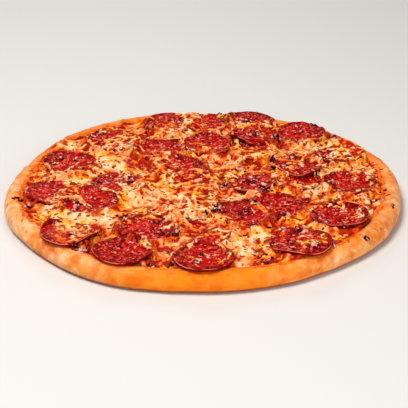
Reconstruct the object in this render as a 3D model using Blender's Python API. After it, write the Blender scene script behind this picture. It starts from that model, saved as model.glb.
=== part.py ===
"""A whole baked pepperoni pizza, lying flat on its dough base.

A round dough crust with a low rolled rim carries a layer of melted cheese. Thirty pepperoni
slices lie on the cheese, some over others, with strands of melted cheese and small charred
pieces of red onion fused to what they lie on. The origin is the centre of the flat underside,
+Z is up, and the side of the pizza that faces the viewer is towards -Y. Lengths are in metres.
"""

import math
import random

import bmesh
import bpy
from mathutils import Matrix, Vector, noise
from mathutils.bvhtree import BVHTree
from mathutils.kdtree import KDTree

MM = 0.001
AROUND = 72
GOLDEN_ANGLE = math.pi * (3 - math.sqrt(5))
LOOKS_AROUND = 24

# The crust: a 30 cm base with a low rim, thicker in some places than in others.
PIZZA_RADIUS = 150 * MM
RIM_HEIGHT = 14 * MM
RIM_WIDTH = 19 * MM
BASE_THICKNESS = 9 * MM
FOOT_INSET = 4 * MM
# Each wave of the outline: how many lobes, how far they stand out, and where the first one is.
OUTLINE_WAVES = (
    (2, 0.8 * MM, 39),
    (3, 1.5 * MM, 120),
    (4, 1.1 * MM, 34),
    (5, 1.2 * MM, 49),
    (6, 0.9 * MM, 3),
    (8, 0.8 * MM, 16),
)
RIM_WAVES = ((1, 0.6 * MM, 265), (2, 0.5 * MM, 3), (11, 0.3 * MM, 75))

# The cheese: a thin layer up to the rim, with an uneven edge.
CHEESE_RADIUS = 134 * MM
CHEESE_THICKNESS = 2.6 * MM
CHEESE_EDGE_THICKNESS = 1.0 * MM
CHEESE_TAPER = 0.14
CHEESE_EDGE_WAVES = ((4, 1.6 * MM, 30), (7, 1.5 * MM, 200), (13, 1.2 * MM, 95))
LUMP_SIZE = 21 * MM
LUMP_HEIGHT = 1.0 * MM
CHEESE_RINGS = 11
CHEESE_REACH = 3 * MM
GAP = 0.35 * MM

# The pepperoni: cooked slices of one sausage, softened so that they follow what is under them.
SLICE_THICKNESS = 1.9 * MM
SLICE_SIDES = 16
SLICE_RINGS = (0.55, 1.0)
SLICE_BEVEL = 0.5 * MM
SLICE_OVALNESS = 0.015
SLICE_FLAT_SIDE = 0.010
CURL_UNEVENNESS = 0.35
# One row for each slice, the lowest first: its place from the middle of the pizza (x, y), its
# diameter and how far its edge curls up, in millimetres, and the share of it under melted cheese.
SLICES = (
    (-30, 118, 40, 0.6, 0.7),
    (1, 117, 39, 0.8, 0.3),
    (40, 121, 40, 1.6, 0.2),
    (81, 95, 42, 0.9, 0.1),
    (-75, 80, 43, 1.2, 0.6),
    (3, 72, 42, 0.8, 0.4),
    (41, 60, 40, 0.5, 0.7),
    (-36, 61, 43, 0.8, 0.3),
    (110, 54, 42, 1.4, 0.8),
    (-106, 33, 43, 1.0, 0.6),
    (-20, 27, 42, 0.6, 0.6),
    (72, 3, 40, 0.6, 0.4),
    (-8, -3, 38, 0.5, 0.7),
    (37, 2, 42, 0.8, 0.3),
    (112, -3, 41, 1.0, 0.0),
    (-65, -5, 42, 0.7, 0.4),
    (-112, -22, 42, 1.0, 0.4),
    (53, -43, 42, 0.8, 0.3),
    (-10, -37, 43, 0.9, 0.8),
    (-40, -79, 42, 1.2, 0.1),
    (-55, -115, 42, 1.5, 0.0),
    (2, -84, 38, 0.5, 0.6),
    (98, -61, 43, 2.2, 0.0),
    (-93, -88, 43, 1.8, 0.5),
    (67, -103, 45, 1.4, 0.3),
    (0, -124, 43, 1.0, 0.1),
    (73, 24, 42, 1.0, 0.2),
    (42, 88, 42, 1.3, 0.2),
    (-85, -34, 44, 1.1, 0.2),
    (26, -59, 42, 0.9, 0.1),
)

# Charred pieces of chopped red onion, and strands of melted cheese over the slices.
ONION_PIECES = 88
ONION_FIELD = 127 * MM
ONION_SPACING = 15 * MM
ONION_LENGTH = (4.2 * MM, 6.5 * MM)
ONION_WIDTH = 0.75
ONION_HEIGHT = 0.5
MOST_STRANDS = 4
STRAND_LENGTH = (11 * MM, 17 * MM)
STRAND_WIDTH = 3.4 * MM
STRAND_HEIGHT = 2.2 * MM
STRAND_BEND = 0.12
STRAND_SUNK = 0.12
CHIP_SUNK = 0.3
SHORTEST_EDGE = 0.04 * MM
# Onion pieces that lie on the bare rim: angle in degrees, distance from the middle, length.
RIM_PIECES = (
    (325.5, 139 * MM, 5.5 * MM),
    (211, 137 * MM, 6.5 * MM),
    (357, 141 * MM, 4.5 * MM),
    (28, 141 * MM, 6 * MM),
)
SEED = 11


def waves(table, angle):
    """The sum of a table's waves at this angle, in metres."""
    return sum(height * math.cos(lobes * (angle - math.radians(at))) for lobes, height, at in table)


def material(name, colour, roughness):
    """A plain non-metal surface of this colour."""
    made = bpy.data.materials.new(name)
    made.use_nodes = True
    shader = made.node_tree.nodes["Principled BSDF"]
    shader.inputs["Base Color"].default_value = (*colour, 1)
    shader.inputs["Roughness"].default_value = roughness
    shader.inputs["Metallic"].default_value = 0
    return made


def mesh_object(name, points, faces, finish, smooth_below=50):
    """An object of these points and faces, turned outwards and shaded smooth over shallow edges."""
    mesh = bpy.data.meshes.new(name)
    mesh.from_pydata(points, [], faces)
    work = bmesh.new()
    work.from_mesh(mesh)
    bmesh.ops.recalc_face_normals(work, faces=work.faces)
    work.to_mesh(mesh)
    work.free()
    mesh.shade_smooth()
    mesh.set_sharp_from_angle(angle=math.radians(smooth_below))
    mesh.materials.append(finish)
    made = bpy.data.objects.new(name, mesh)
    bpy.context.scene.collection.objects.link(made)
    return made


def lathe_faces(rings, around):
    """The faces of a closed body whose rings run one after another, with a flat cap on both ends."""
    faces = [tuple(range(around)), tuple(range((rings - 1) * around, rings * around))]
    for ring in range(rings - 1):
        for i in range(around):
            a, b = ring * around + i, ring * around + (i + 1) % around
            faces.append((a, b, b + around, a + around))
    return faces


def on_circle(radius, angle, z):
    return (radius * math.cos(angle), radius * math.sin(angle), z)


def pizza_radius(angle):
    return PIZZA_RADIUS + waves(OUTLINE_WAVES, angle)


def rim_height(angle):
    return RIM_HEIGHT + waves(RIM_WAVES, angle)


def crust_profile(angle):
    """(distance in from the edge, height) pairs round the rim, from the foot over the top and in."""
    top = rim_height(angle)
    return (
        (FOOT_INSET, 0),
        (0.27 * FOOT_INSET, 0.16 * top),
        (0, 0.45 * top),
        (0.055 * RIM_WIDTH, 0.70 * top),
        (0.18 * RIM_WIDTH, 0.90 * top),
        (0.38 * RIM_WIDTH, top),
        (0.60 * RIM_WIDTH, 0.95 * top),
        (0.82 * RIM_WIDTH, 0.5 * (0.93 * top + BASE_THICKNESS)),
        (1.12 * RIM_WIDTH, BASE_THICKNESS),
    )


def make_crust(finish):
    """The dough: a flat foot, a bulging side, a rolled rim and a sunk flat middle."""
    angles = [2 * math.pi * i / AROUND for i in range(AROUND)]
    profiles = [crust_profile(angle) for angle in angles]
    points = [
        on_circle(pizza_radius(angle) - profile[ring][0], angle, profile[ring][1])
        for ring in range(len(profiles[0]))
        for angle, profile in zip(angles, profiles)
    ]
    return mesh_object("crust", points, lathe_faces(len(profiles[0]), AROUND), finish)


def height_under(tree, x, y):
    """The height of the highest surface at this place, or None beside it."""
    hit = tree.ray_cast(Vector((x, y, 1)), Vector((0, 0, -1)))[0]
    return None if hit is None else hit.z


def tree_of(*objects):
    """One search tree over all these objects' faces."""
    work = bmesh.new()
    for each in objects:
        work.from_mesh(each.data)
    bmesh.ops.triangulate(work, faces=work.faces)
    tree = BVHTree.FromBMesh(work)
    work.free()
    return tree


class Ground:
    """What a layer lies on: the surface of these objects as it shows from above."""

    def __init__(self, *objects):
        self.tree = tree_of(*objects)
        points = [v.co for each in objects for v in each.data.vertices]
        self.corners = KDTree(len(points))
        self.heights = [co.z for co in points]
        for i, co in enumerate(points):
            self.corners.insert((co.x, co.y, 0), i)
        self.corners.balance()

    def highest_near(self, x, y, reach):
        """The highest point within this reach, so that flat faces between such points clear it."""
        found = [self.heights[i] for _, i, _ in self.corners.find_range((x, y, 0), reach)]
        found.append(height_under(self.tree, x, y))
        for i in range(LOOKS_AROUND):
            ahead = on_circle(reach, 2 * math.pi * i / LOOKS_AROUND, 0)
            found.append(height_under(self.tree, x + ahead[0], y + ahead[1]))
        return max(z for z in found if z is not None)


def cheese_lumps(x, y):
    """How far the melted cheese stands above or below its level at this place."""
    broad = noise.noise(Vector((x, y, 0)) / LUMP_SIZE)
    fine = noise.noise(Vector((x, y, LUMP_SIZE)) * 2.3 / LUMP_SIZE)
    return LUMP_HEIGHT * (broad + 0.5 * fine)


def make_cheese(crust, finish):
    """The melted cheese: a lumpy sheet whose underside follows the dough."""
    below = Ground(crust)
    angles = [2 * math.pi * i / AROUND for i in range(AROUND)]
    upper, lower = [], []
    for ring in range(1, CHEESE_RINGS + 1):
        share = (ring / CHEESE_RINGS) ** 0.9
        for angle in angles:
            radius = share * (CHEESE_RADIUS + waves(CHEESE_EDGE_WAVES, angle))
            x, y = radius * math.cos(angle), radius * math.sin(angle)
            ground = below.highest_near(x, y, CHEESE_REACH) + GAP
            fade = min(1, (1 - share) / CHEESE_TAPER)
            full = CHEESE_THICKNESS + cheese_lumps(x, y)
            thick = CHEESE_EDGE_THICKNESS + fade * (full - CHEESE_EDGE_THICKNESS)
            upper.append((x, y, ground + thick))
            if ring in (1, CHEESE_RINGS - 2, CHEESE_RINGS - 1, CHEESE_RINGS):
                lower.append((x, y, ground))
    rings_below = len(lower) // AROUND
    inwards = reversed(range(rings_below))
    underside = [point for ring in inwards for point in lower[ring * AROUND : (ring + 1) * AROUND]]
    return mesh_object("cheese", upper + underside, lathe_faces(CHEESE_RINGS + rings_below, AROUND), finish)


def slice_radius(radius, angle, turn):
    """A sliced sausage is nearly round: a slight oval with a flattened side."""
    oval = SLICE_OVALNESS * (math.cos(2 * angle + turn) - 1)
    return radius * (1 + oval + SLICE_FLAT_SIDE * (math.cos(3 * angle - turn) - 1))


def make_slice(number, row, objects_below, finish):
    """One pepperoni slice, laid on everything that is under it."""
    x_mm, y_mm, diameter_mm, curl_mm, _ = row
    centre_x, centre_y, radius, curl = x_mm * MM, y_mm * MM, diameter_mm * MM / 2, curl_mm * MM
    below = Ground(*objects_below)
    turn = GOLDEN_ANGLE * number
    reach = 0.72 * (SLICE_RINGS[1] - SLICE_RINGS[0]) * radius
    bottom, top = [], []
    for ring in (0, *SLICE_RINGS):
        for i in range(SLICE_SIDES if ring else 1):
            angle = 2 * math.pi * i / SLICE_SIDES
            away = ring * slice_radius(radius, angle, turn)
            x, y = centre_x + away * math.cos(angle), centre_y + away * math.sin(angle)
            lift = curl if ring == 1 else 0
            lift *= 1 + CURL_UNEVENNESS * (math.cos(2 * angle + turn) - 1)
            z = below.highest_near(x, y, reach) + GAP + lift
            bottom.append((x, y, z))
            if ring == 1:
                inner = (away - SLICE_BEVEL) / away
                x, y = centre_x + (x - centre_x) * inner, centre_y + (y - centre_y) * inner
            top.append((x, y, z + SLICE_THICKNESS))
    bottom_edge = bottom[-SLICE_SIDES:]
    shoulder = [(x, y, z + SLICE_THICKNESS - SLICE_BEVEL) for x, y, z in bottom_edge]
    points = bottom + shoulder + top
    return mesh_object(f"slice_{number:02d}", points, slice_faces(), finish)


def slice_faces():
    """The faces of a slice: a fan and a ring below, the side and its bevel, a ring and a fan above."""
    n = SLICE_SIDES
    middle_low, inner_low, outer_low = 0, 1, 1 + n
    shoulder = 1 + 2 * n
    middle_top = 1 + 3 * n
    inner_top, outer_top = middle_top + 1, middle_top + 1 + n
    loops = (inner_low, outer_low, shoulder, outer_top, inner_top)
    faces = []
    for i in range(n):
        j = (i + 1) % n
        faces.append((middle_low, inner_low + j, inner_low + i))
        faces.append((middle_top, inner_top + i, inner_top + j))
        for a, b in zip(loops, loops[1:]):
            faces.append((a + i, a + j, b + j, b + i))
    return faces


def draped(tree, points, faces):
    """A loose lump whose points are given as x, y and height over the surface under them."""
    laid = []
    for x, y, above in points:
        ground = height_under(tree, x, y)
        if ground is None:
            return None
        laid.append((x, y, ground + above))
    mesh = bpy.data.meshes.new("lump")
    mesh.from_pydata(laid, [], faces)
    made = bpy.data.objects.new("lump", mesh)
    bpy.context.scene.collection.objects.link(made)
    return made


def chip(tree, place, size, turn):
    """A rounded lump of twenty faces, of this length, width and height."""
    work = bmesh.new()
    bmesh.ops.create_icosphere(work, subdivisions=1, radius=0.5)
    points = []
    for vertex in work.verts:
        along, across = vertex.co.x * size[0], vertex.co.y * size[1]
        x = place[0] + along * math.cos(turn) - across * math.sin(turn)
        y = place[1] + along * math.sin(turn) + across * math.cos(turn)
        points.append((x, y, (vertex.co.z + 0.5 - CHIP_SUNK) * size[2]))
    faces = [tuple(v.index for v in face.verts) for face in work.faces]
    work.free()
    return draped(tree, points, faces)


def strand(tree, place, size, turn):
    """A bent strand of melted cheese, half sunk: three stations of four points and two ends."""
    length, width, height = size
    points, faces = [], []
    for along, wide in ((-0.5, 0), (-0.3, 0.85), (0, 1), (0.3, 0.8), (0.5, 0)):
        middle = (along * length, STRAND_BEND * length * (1 - 4 * along * along))
        for across, up in ((0.5, 0), (0, 0.5), (-0.5, 0), (0, -0.5)) if wide else ((0, 0),):
            px, py = middle[0], middle[1] + across * wide * width
            x = place[0] + px * math.cos(turn) - py * math.sin(turn)
            y = place[1] + px * math.sin(turn) + py * math.cos(turn)
            points.append((x, y, (up * wide - STRAND_SUNK) * height))
    for i in range(4):
        j = (i + 1) % 4
        faces.append((0, 1 + j, 1 + i))
        faces.append((13, 9 + i, 9 + j))
        faces.append((1 + i, 1 + j, 5 + j, 5 + i))
        faces.append((5 + i, 5 + j, 9 + j, 9 + i))
    return draped(tree, points, faces)


def shows_alone(owner, trees, x, y, reach):
    """Whether only this object shows from above within this reach, so that a lump there is clear."""
    spots = [on_circle(reach, 2 * math.pi * i / LOOKS_AROUND, 0) for i in range(LOOKS_AROUND)]
    for ahead in (*spots, (0, 0, 0)):
        heights = {name: height_under(tree, x + ahead[0], y + ahead[1]) for name, tree in trees.items()}
        present = {name: z for name, z in heights.items() if z is not None}
        if not present or max(present, key=present.get) != owner:
            return False
    return True


def add_lump(shape, owner, trees, lumps, place, size, draw):
    """Lays one lump on its owner at this place, if no other node is near. Says whether it did."""
    if not shows_alone(owner, trees, *place, 0.6 * size[0]):
        return False
    made = shape(trees[owner], place, size, draw.uniform(0, math.pi))
    if made is None:
        return False
    lumps.setdefault(owner, []).append(made)
    return True


def lay_strands(trees, lumps, draw):
    """Melted cheese strands over each slice, more of them where more of it is covered."""
    for number, (x_mm, y_mm, diameter_mm, _, covered) in enumerate(SLICES, 1):
        for _ in range(round(MOST_STRANDS * covered)):
            away = diameter_mm * MM * draw.uniform(0.05, 0.22)
            angle = draw.uniform(0, 2 * math.pi)
            place = (x_mm * MM + away * math.cos(angle), y_mm * MM + away * math.sin(angle))
            size = (draw.uniform(*STRAND_LENGTH), STRAND_WIDTH, STRAND_HEIGHT)
            add_lump(strand, f"slice_{number:02d}", trees, lumps, place, size, draw)


def scatter_onion(trees, lumps, draw):
    """Charred onion pieces, spread evenly over the cheese and the slices."""
    taken = []
    tries = 60 * ONION_PIECES
    while len(taken) < ONION_PIECES and tries:
        tries -= 1
        away, angle = ONION_FIELD * math.sqrt(draw.random()), draw.uniform(0, 2 * math.pi)
        place = (away * math.cos(angle), away * math.sin(angle))
        length = draw.uniform(*ONION_LENGTH)
        if any(math.dist(place, other) < ONION_SPACING for other in taken):
            continue
        owner = max(trees, key=lambda name: height_under(trees[name], *place) or 0)
        size = (length, ONION_WIDTH * length, ONION_HEIGHT * length)
        if add_lump(chip, owner, trees, lumps, place, size, draw):
            taken.append(place)


def lay_on_rim(trees, lumps, draw):
    for degrees, away, length in RIM_PIECES:
        angle = math.radians(degrees)
        place = (away * math.cos(angle), away * math.sin(angle))
        size = (length, ONION_WIDTH * length, ONION_HEIGHT * length)
        add_lump(chip, "crust", trees, lumps, place, size, draw)


def fuse(owner, loose):
    """Joins lumps to the object they lie on with one Boolean union, and removes the loose ones."""
    group = bpy.data.collections.new(owner.name + "_lumps")
    bpy.context.scene.collection.children.link(group)
    for each in loose:
        bpy.context.scene.collection.objects.unlink(each)
        group.objects.link(each)
    join = owner.modifiers.new("lumps", "BOOLEAN")
    join.operation = "UNION"
    join.operand_type = "COLLECTION"
    join.collection = group
    join.solver = "MANIFOLD"
    bpy.context.view_layer.update()
    joined = bpy.data.meshes.new_from_object(owner.evaluated_get(bpy.context.evaluated_depsgraph_get()))
    owner.modifiers.remove(join)
    work = bmesh.new()
    work.from_mesh(joined)
    bmesh.ops.remove_doubles(work, verts=work.verts, dist=SHORTEST_EDGE)
    bmesh.ops.triangulate(work, faces=work.faces)
    work.to_mesh(joined)
    work.free()
    owner.data = joined
    for each in list(group.objects):
        bpy.data.objects.remove(each)
    bpy.data.collections.remove(group)


def centre_on(reference, objects):
    """Moves the objects so that the reference's box is centred on the origin."""
    xs = [v.co.x for v in reference.data.vertices]
    ys = [v.co.y for v in reference.data.vertices]
    shift = Matrix.Translation((-(min(xs) + max(xs)) / 2, -(min(ys) + max(ys)) / 2, 0))
    for each in objects:
        each.data.transform(shift)


def main():
    for each in list(bpy.data.objects):
        bpy.data.objects.remove(each)
    dough = material("baked_dough", (0.86, 0.42, 0.12), 0.45)
    melted = material("melted_cheese", (0.92, 0.62, 0.22), 0.35)
    meat = material("pepperoni", (0.42, 0.05, 0.03), 0.35)
    crust = make_crust(dough)
    objects = [crust, make_cheese(crust, melted)]
    for number, row in enumerate(SLICES, 1):
        objects.append(make_slice(number, row, objects, meat))
    trees = {each.name: tree_of(each) for each in objects}
    draw = random.Random(SEED)
    lumps = {}
    lay_on_rim(trees, lumps, draw)
    lay_strands(trees, lumps, draw)
    scatter_onion(trees, lumps, draw)
    for name, loose in lumps.items():
        fuse(bpy.data.objects[name], loose)
    centre_on(crust, objects)


main()
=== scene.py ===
import math
import random

import bmesh
import bpy
import numpy as np
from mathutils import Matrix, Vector, noise
from mathutils.bvhtree import BVHTree


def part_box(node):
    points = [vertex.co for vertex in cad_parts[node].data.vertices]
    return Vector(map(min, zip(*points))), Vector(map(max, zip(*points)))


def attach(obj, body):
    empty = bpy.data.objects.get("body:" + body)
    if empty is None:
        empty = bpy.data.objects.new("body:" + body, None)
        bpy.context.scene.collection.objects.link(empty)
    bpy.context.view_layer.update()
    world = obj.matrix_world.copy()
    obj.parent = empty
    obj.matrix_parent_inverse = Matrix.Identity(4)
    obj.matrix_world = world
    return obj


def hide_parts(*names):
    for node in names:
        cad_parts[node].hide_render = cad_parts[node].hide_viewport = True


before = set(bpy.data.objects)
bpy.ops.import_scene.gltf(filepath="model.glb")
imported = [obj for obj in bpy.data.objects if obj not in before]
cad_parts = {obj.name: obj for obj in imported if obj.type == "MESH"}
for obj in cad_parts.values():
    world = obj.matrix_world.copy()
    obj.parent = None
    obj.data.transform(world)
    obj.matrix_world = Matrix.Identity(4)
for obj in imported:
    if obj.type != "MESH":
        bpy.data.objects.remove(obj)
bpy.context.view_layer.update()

# The baked crust.
# A round of risen dough with a low rolled rim, oiled and baked golden. It is thicker in some
# places than in others, pale where the oven was cooler, and has small toasted blisters.
MM = 0.001
PIZZA_RADIUS = 150 * MM
RIM_HEIGHT = 14 * MM
RIM_WIDTH = 19 * MM
BASE_THICKNESS = 9 * MM
FOOT_INSET = 4 * MM
OUTLINE_WAVES = (
    (2, 0.8 * MM, 39),
    (3, 1.5 * MM, 120),
    (4, 1.1 * MM, 34),
    (5, 1.2 * MM, 49),
    (6, 0.9 * MM, 3),
    (8, 0.8 * MM, 16),
)
RIM_WAVES = ((1, 0.6 * MM, 265), (2, 0.5 * MM, 3), (11, 0.3 * MM, 75))
# The rim's section, from its foot up, over and inwards. Each point has its share of the foot's
# inset or of the rim's width, and its share of the rim's height. Two more insets, as shares of
# the rim's width, are those of the slope down to the base.
FOOT_SECTION = ((1.0, 0.0), (0.27, 0.16), (0.0, 0.45))
RIM_SECTION = ((0.055, 0.70), (0.18, 0.90), (0.38, 1.0), (0.60, 0.95))
SLOPE_INSETS = (0.82, 1.12)
# How many points the solid's outline has, and how many the crust has round it and over its rim.
SOLID_AROUND = 72
CRUST_AROUND = 900
CRUST_ACROSS = 88
# How high the dough's relief stands: its broad swelling, its pores and its crumpled inside.
DOUGH_SWELL = 0.55 * MM
DOUGH_PORES = 0.05 * MM
CRUMPLE = 0.45 * MM
BLISTERS = 70
BLISTER_RADIUS = (2.0 * MM, 6.5 * MM)
BLISTER_HEIGHT = 0.11
# Where the rim is pale: the direction of the middle of each stretch and its half width, in
# degrees, and how pale it is.
PALE_STRETCHES = ((206, 54, 0.95), (336, 54, 0.75), (80, 75, 0.30))
GOLDEN = (0.93, 0.240, 0.003)
CREAM_DOUGH = (0.95, 0.47, 0.17)
FLOUR_AND_HIGHLIGHT = (0.97, 0.70, 0.42)
DEEP_GOLD = (0.80, 0.14, 0.002)
TOASTED = (0.30, 0.05, 0.006)
BLISTERED = (0.60, 0.13, 0.006)
OILY_STAIN = (0.76, 0.085, 0.003)
# What every food surface shares: how rough its film of oil is, and for a translucent one the
# colour and the depth of the light that comes back out of it.
FILM_ROUGHNESS = 0.15
GLOW = (1.0, 0.45, 0.18)
GLOW_DEPTH = 1.6 * MM


def waves(table, angle):
    """The sum of a table's waves at these angles: how many lobes, how high, and where."""
    return sum(height * np.cos(lobes * (angle - math.radians(at))) for lobes, height, at in table)


def smooth(low, high, value):
    """0 below low, 1 above high and a smooth rise between."""
    share = np.clip((value - low) / (high - low), 0, 1)
    return share * share * (3 - 2 * share)


def lumps(points, size, seed=0):
    """Smooth noise from about -1 to 1 at these points, with features of this size."""
    shift = Vector((17.3 * seed, 5.1 * seed, 9.7 * seed))
    flat = np.asarray(points, dtype=float).reshape(-1, 3) / size
    return np.array([noise.noise(Vector(p) + shift) for p in flat])


def through(points, steps):
    """Points on a smooth curve through these ones. The first axis runs along the curve."""
    ends = 2 * points[:1] - points[1:2], 2 * points[-1:] - points[-2:-1]
    padded = np.concatenate([ends[0], points, ends[1]])
    place = np.linspace(0, len(points) - 1, steps)
    start = np.minimum(place.astype(int), len(points) - 2)
    t = (place - start).reshape(-1, *[1] * (points.ndim - 1))
    a, b, c, d = (padded[start + i] for i in range(4))
    bend, twist = 2 * a - 5 * b + 4 * c - d, 3 * b - a - 3 * c + d
    return 0.5 * (2 * b + (c - a) * t + bend * t**2 + twist * t**3)


def ring_faces(rings, around):
    """The faces of a closed body of rings, with a flat cap on both ends."""
    faces = [tuple(reversed(range(around))), tuple(range((rings - 1) * around, rings * around))]
    for ring in range(rings - 1):
        for i in range(around):
            a, b = ring * around + i, ring * around + (i + 1) % around
            faces.append((a, b, b + around, a + around))
    return faces


def solid(name, points, faces, finish):
    """A closed object of these points and faces, turned outwards and shaded smooth."""
    mesh = bpy.data.meshes.new(name)
    mesh.from_pydata([tuple(p) for p in points], [], faces)
    work = bmesh.new()
    work.from_mesh(mesh)
    bmesh.ops.recalc_face_normals(work, faces=work.faces)
    work.to_mesh(mesh)
    work.free()
    mesh.shade_smooth()
    mesh.materials.append(finish)
    made = bpy.data.objects.new(name, mesh)
    bpy.context.scene.collection.objects.link(made)
    return made


def paint(piece, name, values):
    """Stores one number for each of the piece's points, for its material to read."""
    layer = piece.data.attributes.new(name, "FLOAT", "POINT")
    layer.data.foreach_set("value", np.ascontiguousarray(values, dtype=np.float32))


def add(tree, kind, inputs=None, **settings):
    """Adds a node to a tree. Inputs are plain values, or other nodes' sockets to link."""
    node = tree.nodes.new(kind)
    for name, value in settings.items():
        setattr(node, name, value)
    for name, value in (inputs or {}).items():
        if isinstance(value, bpy.types.NodeSocket):
            tree.links.new(value, node.inputs[name])
        else:
            node.inputs[name].default_value = value
    return node


def maths(tree, operation, *values):
    """What Math nodes make of these values, taken one after another."""
    result = values[0]
    for value in values[1:]:
        inputs = {0: result, 1: value}
        result = add(tree, "ShaderNodeMath", inputs, operation=operation).outputs[0]
    return result


def plus(tree, *values):
    """The sum of several values."""
    return maths(tree, "ADD", *values)


def times(tree, *values):
    """The product of several values."""
    return maths(tree, "MULTIPLY", *values)


def between(tree, value, low, high):
    """0 below low, 1 above high and a smooth rise between, as smooth() does for arrays."""
    inputs = {0: value, 1: low, 2: high}
    return add(tree, "ShaderNodeMapRange", inputs, interpolation_type="SMOOTHSTEP").outputs[0]


def tint(tree, share, base, over):
    """One colour laid over another by this share."""
    base = (*base, 1) if isinstance(base, tuple) else base
    over = (*over, 1) if isinstance(over, tuple) else over
    return add(tree, "ShaderNodeMix", {0: share, 6: base, 7: over}, data_type="RGBA").outputs[2]


def stored(tree, name):
    """The number that paint() stored under this name."""
    return add(tree, "ShaderNodeAttribute", attribute_name=name).outputs["Fac"]


def sockets(tree, inputs, outputs):
    """Gives a node group its named inputs and outputs, and returns its two end nodes."""
    for name, (kind, value) in inputs.items():
        made = tree.interface.new_socket(name=name, in_out="INPUT", socket_type="NodeSocket" + kind)
        if value is not None:
            made.default_value = value
    for name, kind in outputs.items():
        tree.interface.new_socket(name=name, in_out="OUTPUT", socket_type="NodeSocket" + kind)
    return tree.nodes.new("NodeGroupInput"), tree.nodes.new("NodeGroupOutput")


def patches_group():
    """A shader group of soft patches of one size: the mask is 1 inside them."""
    tree = bpy.data.node_groups.new("patches", "ShaderNodeTree")
    ends = sockets(
        tree,
        {
            "Vector": ("Vector", None),
            "Size": ("Float", 5 * MM),
            "Seed": ("Float", 0.0),
            "Detail": ("Float", 2.0),
            "From": ("Float", 0.45),
            "To": ("Float", 0.6),
        },
        {"Mask": "Float"},
    )
    scale = maths(tree, "DIVIDE", 1.0, ends[0].outputs["Size"])
    inputs = {"Vector": ends[0].outputs["Vector"], "W": ends[0].outputs["Seed"], "Scale": scale}
    inputs["Detail"] = ends[0].outputs["Detail"]
    field = add(tree, "ShaderNodeTexNoise", inputs, noise_dimensions="4D").outputs[0]
    mask = between(tree, field, ends[0].outputs["From"], ends[0].outputs["To"])
    tree.links.new(mask, ends[1].inputs["Mask"])
    return tree


PATCHES = patches_group()


def patches(tree, size, low, high, seed=0.0, detail=2.0):
    """Soft patches on this material, in its own object coordinates."""
    where = add(tree, "ShaderNodeTexCoord").outputs["Object"]
    values = {"Vector": where, "Size": size, "Seed": seed, "Detail": detail}
    values.update({"From": low, "To": high})
    return add(tree, "ShaderNodeGroup", values, node_tree=PATCHES).outputs["Mask"]


def oil_group():
    """A shader group of a broken film of oil: where it lies, and how rough the surface is there."""
    tree = bpy.data.node_groups.new("oil", "ShaderNodeTree")
    ends = sockets(
        tree,
        {
            "Vector": ("Vector", None),
            "Size": ("Float", 6 * MM),
            "Cover": ("Float", 0.5),
            "Dry roughness": ("Float", 0.5),
            "Wet roughness": ("Float", 0.2),
        },
        {"Film": "Float", "Roughness": "Float"},
    )
    scale = maths(tree, "DIVIDE", 1.0, ends[0].outputs["Size"])
    inputs = {"Vector": ends[0].outputs["Vector"], "Scale": scale, "Detail": 3.0}
    field = add(tree, "ShaderNodeTexNoise", inputs).outputs[0]
    low = maths(tree, "SUBTRACT", 0.85, ends[0].outputs["Cover"])
    film = between(tree, field, low, plus(tree, low, 0.15))
    dry, wet = ends[0].outputs["Dry roughness"], ends[0].outputs["Wet roughness"]
    rough = add(tree, "ShaderNodeMix", {0: film, 2: dry, 3: wet}).outputs[0]
    tree.links.new(film, ends[1].inputs["Film"])
    tree.links.new(rough, ends[1].inputs["Roughness"])
    return tree


OIL = oil_group()


def food(name, colour_of, oil, bump, gloss, shine, translucence=0.0):
    """A moist food surface. colour_of(tree) gives its colour. oil is the film's size, its cover
    and the roughness dry and wet, and gloss is how strongly the film shines. bump lists the
    size and depth of each relief. shine is the bare surface's own reflection, and translucence
    is how much light passes through its outer layer."""
    made = bpy.data.materials.new(name)
    made.use_nodes = True
    tree = made.node_tree
    shader = tree.nodes["Principled BSDF"]
    where = add(tree, "ShaderNodeTexCoord").outputs["Object"]
    tree.links.new(colour_of(tree), shader.inputs["Base Color"])
    size, cover, dry, wet = oil
    values = {"Vector": where, "Size": size, "Cover": cover}
    values.update({"Dry roughness": dry, "Wet roughness": wet})
    film = add(tree, "ShaderNodeGroup", values, node_tree=OIL)
    tree.links.new(film.outputs["Roughness"], shader.inputs["Roughness"])
    tree.links.new(times(tree, film.outputs["Film"], gloss), shader.inputs["Coat Weight"])
    shader.inputs["Coat Roughness"].default_value = FILM_ROUGHNESS
    shader.inputs["Specular IOR Level"].default_value = shine
    if translucence:
        shader.inputs["Subsurface Weight"].default_value = translucence
        shader.inputs["Subsurface Radius"].default_value = GLOW
        shader.inputs["Subsurface Scale"].default_value = GLOW_DEPTH
    normal = None
    for grain, depth in bump:
        inputs = {"Vector": where, "Scale": 1 / grain, "Detail": 2.0}
        field = add(tree, "ShaderNodeTexNoise", inputs).outputs[0]
        inputs = {"Height": field, "Distance": depth, "Strength": 1.0}
        if normal:
            inputs["Normal"] = normal
        normal = add(tree, "ShaderNodeBump", inputs).outputs["Normal"]
    tree.links.new(normal, shader.inputs["Normal"])
    return made


def slice_places():
    """The centre and radius of every pepperoni slice, by the name of its solid."""
    places = {}
    for name in sorted(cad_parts):
        if name.startswith("slice"):
            low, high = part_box(name)
            radius = (high[0] - low[0] + high[1] - low[1]) / 4
            places[name] = ((low[0] + high[0]) / 2, (low[1] + high[1]) / 2, radius)
    return places


SLICES = slice_places()


def past_slices(x, y):
    """How far these places are outside the nearest slice's edge. Negative under a slice."""
    gaps = [np.hypot(x - at_x, y - at_y) - radius for at_x, at_y, radius in SLICES.values()]
    return np.min(gaps, axis=0)


def outline_centre():
    """The middle of the outline's box, which the solids have at the origin."""
    angle = np.arange(SOLID_AROUND) * math.tau / SOLID_AROUND
    radius = PIZZA_RADIUS + waves(OUTLINE_WAVES, angle)
    x, y = radius * np.cos(angle), radius * np.sin(angle)
    return (x.min() + x.max()) / 2, (y.min() + y.max()) / 2


CENTRE_X, CENTRE_Y = outline_centre()


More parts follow.
